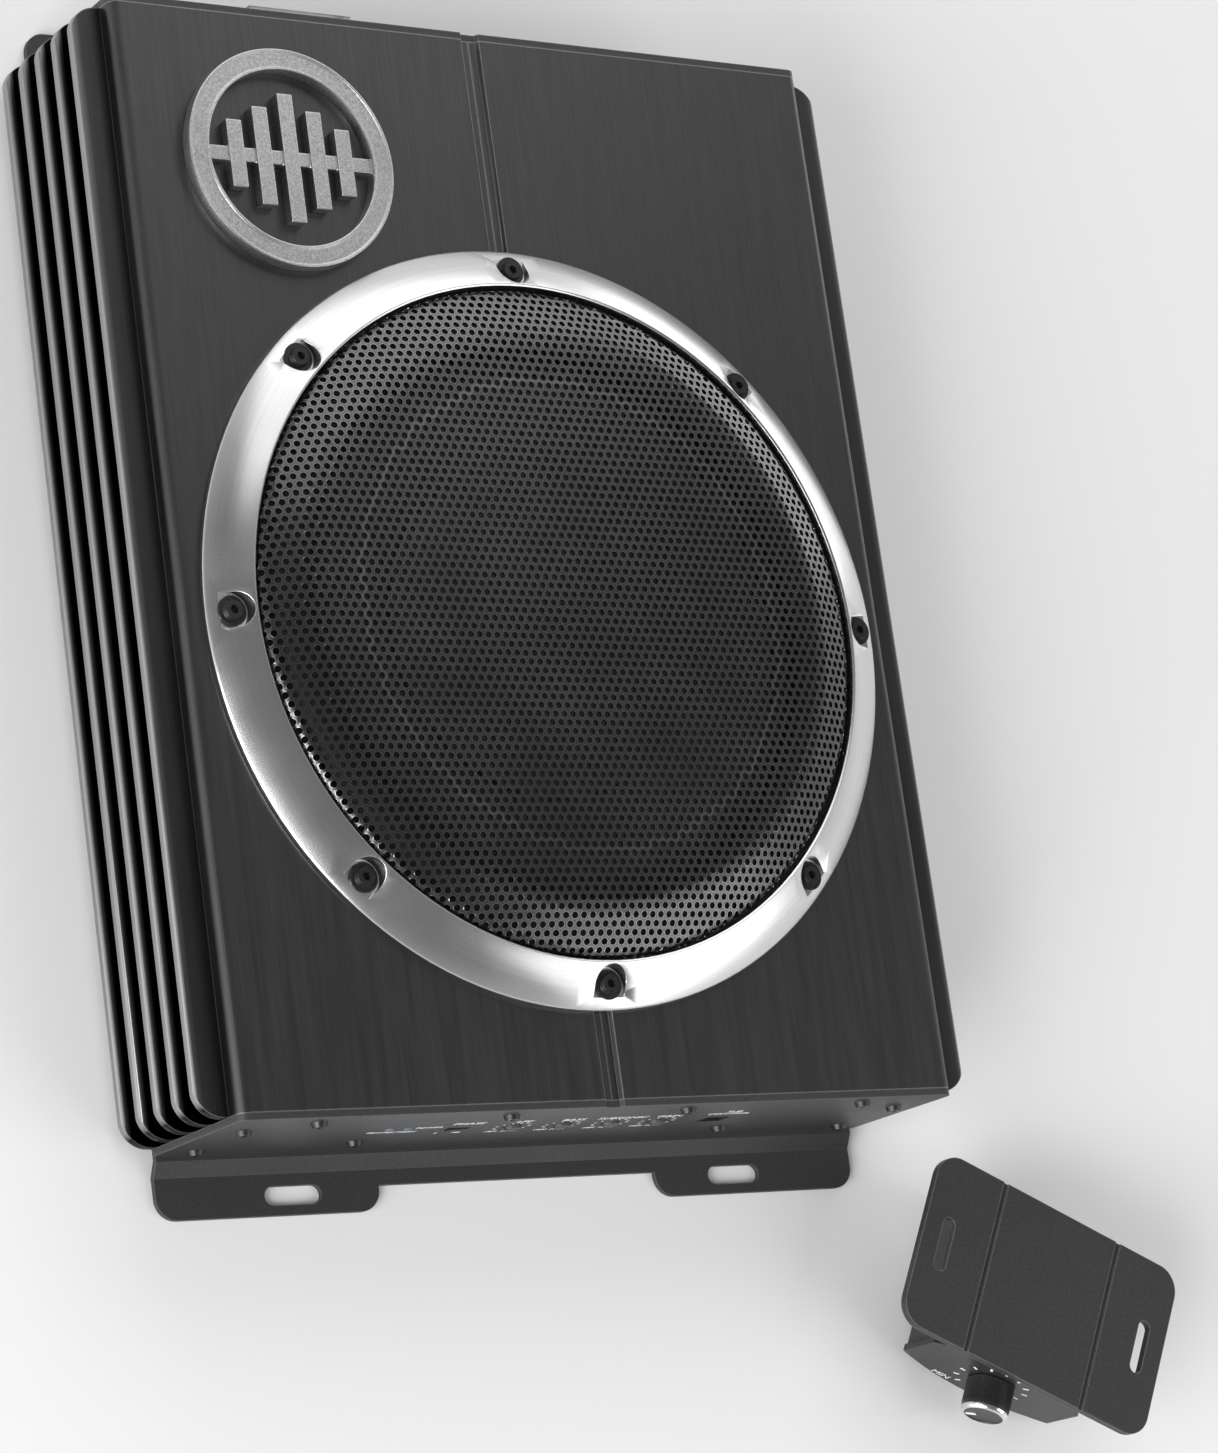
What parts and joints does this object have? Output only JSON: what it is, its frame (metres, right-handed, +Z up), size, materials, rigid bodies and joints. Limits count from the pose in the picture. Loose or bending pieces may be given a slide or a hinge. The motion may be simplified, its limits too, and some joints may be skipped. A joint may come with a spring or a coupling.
{
  "type": "powered car subwoofer",
  "caption": "Low-profile powered car subwoofer in a finned aluminium case with floor brackets, level controls and a separate remote level knob.",
  "frame": {"origin": "on the floor plane, at the centre of the four slots in the floor brackets", "axes": "+Z up out of the grille, +Y along the extrusions towards the terminal end, +X to the right with the control end nearest"},
  "size_m": [0.4027, 0.5114, 0.0826],
  "materials": {
    "anodised_black": "black anodised aluminium, brushed along its length",
    "bare_aluminium": "plain machined aluminium",
    "black_sheet": "black satin powder coat on steel sheet",
    "bracket_coat": "black textured powder coat on steel sheet",
    "ring_silver": "satin silver aluminium, turned",
    "grille_black": "black powder-coated perforated steel",
    "badge_silver": "silver, sand-blasted with polished edges",
    "black_screw": "black oxide steel",
    "gasket_foam": "closed-cell foam",
    "basket_steel": "black painted pressed steel",
    "surround_rubber": "soft matt rubber",
    "cone_paper": "dark mineral-filled polypropylene",
    "coil_copper": "enamelled copper winding",
    "spider_cloth": "resin-treated corrugated cotton",
    "plated_steel": "zinc-plated steel",
    "ferrite": "sintered ferrite",
    "circuit_board": "green solder mask on glass laminate",
    "capacitor_sleeve": "shrink sleeve",
    "choke_winding": "enamelled copper on a ferrite ring",
    "epoxy_black": "moulded epoxy",
    "socket_black": "moulded nylon",
    "clear_cover": "clear polycarbonate",
    "gold_plate": "gold-plated brass",
    "fuse_amber": "translucent moulded plastic",
    "socket_white": "natural nylon",
    "pot_plastic": "moulded thermoplastic",
    "lamp_lens": "clear light pipe",
    "remote_black": "fine-textured black coat",
    "knob_black": "moulded, knurled, with a polished rim"
  },
  "bodies": {
    "case": {"case_left": "anodised_black", "case_right": "anodised_black", "centre_joiner": "bare_aluminium", "bottom_cover": "black_sheet", "control_end_panel": "black_sheet", "terminal_end_panel": "black_sheet", "control_end_bracket": "bracket_coat", "terminal_end_bracket": "bracket_coat", "trim_ring": "ring_silver", "grille": "grille_black", "badge": "badge_silver", "ring_screws": "black_screw", "frame_gasket": "gasket_foam", "woofer_basket": "basket_steel", "surround": "surround_rubber", "spider": "spider_cloth", "top_plate": "plated_steel", "magnet": "ferrite", "yoke": "plated_steel", "amplifier_board": "circuit_board", "board_standoffs": "plated_steel", "capacitors": "capacitor_sleeve", "chokes": "choke_winding", "power_transistors": "epoxy_black", "transistor_clamps": "bare_aluminium", "heat_spreaders": "bare_aluminium", "terminal_block": "socket_black", "terminal_cover": "clear_cover", "terminal_screws": "gold_plate", "fuse_holder": "socket_black", "fuses": "fuse_amber", "rca_jacks": "gold_plate", "high_level_socket": "socket_white", "control_board": "circuit_board", "pot_bodies": "pot_plastic", "phase_switch_body": "plated_steel", "remote_jack": "socket_black", "indicator_lenses": "lamp_lens", "control_panel_screws": "black_screw", "terminal_panel_screws": "black_screw", "bracket_screws": "plated_steel", "cover_screws": "plated_steel"},
    "cone_assembly": {"cone": "cone_paper", "dust_cap": "cone_paper", "voice_coil": "coil_copper"},
    "gain_pot": {"gain_pot": "pot_plastic"},
    "subsonic_pot": {"subsonic_pot": "pot_plastic"},
    "bass_boost_pot": {"bass_boost_pot": "pot_plastic"},
    "lowpass_pot": {"lowpass_pot": "pot_plastic"},
    "phase_slider": {"phase_slider": "socket_black"},
    "remote_body": {"remote_housing": "remote_black", "remote_front_panel": "remote_black", "remote_plate": "remote_black", "remote_potentiometer": "plated_steel", "remote_board": "circuit_board", "remote_socket": "socket_black", "remote_screws": "black_screw"},
    "remote_knob": {"remote_knob": "knob_black"}
  },
  "joints": [
    {"name": "cone_travel", "type": "slide", "parent": "case", "child": "cone_assembly", "axis": [0, 0, 1], "range_m": [-0.004, 0.004], "stiffness_N_per_m": 6000, "deforming": ["surround", "spider"]},
    {"name": "lowpass_pot_turn", "type": "hinge", "parent": "case", "child": "lowpass_pot", "pos_m": [-0.022, -0.186, 0.036], "axis": [0, -1, 0], "range_deg": [-140, 140]},
    {"name": "bass_boost_pot_turn", "type": "hinge", "parent": "case", "child": "bass_boost_pot", "pos_m": [-0.0025, -0.186, 0.036], "axis": [0, -1, 0], "range_deg": [-140, 140]},
    {"name": "subsonic_pot_turn", "type": "hinge", "parent": "case", "child": "subsonic_pot", "pos_m": [0.017, -0.186, 0.036], "axis": [0, -1, 0], "range_deg": [-140, 140]},
    {"name": "gain_pot_turn", "type": "hinge", "parent": "case", "child": "gain_pot", "pos_m": [0.036, -0.186, 0.036], "axis": [0, -1, 0], "range_deg": [-140, 140]},
    {"name": "phase_slide", "type": "slide", "parent": "case", "child": "phase_slider", "axis": [1, 0, 0], "range_m": [0, 0.004]},
    {"name": "remote_lift", "type": "slide", "parent": "case", "child": "remote_body", "axis": [0, 0, 1], "range_m": [0, 0.08]},
    {"name": "remote_level_turn", "type": "hinge", "parent": "remote_body", "child": "remote_knob", "pos_m": [0.17615, -0.28118, 0.0165], "axis": [-0.454, -0.891, 0], "range_deg": [-270, 0]}
  ]
}
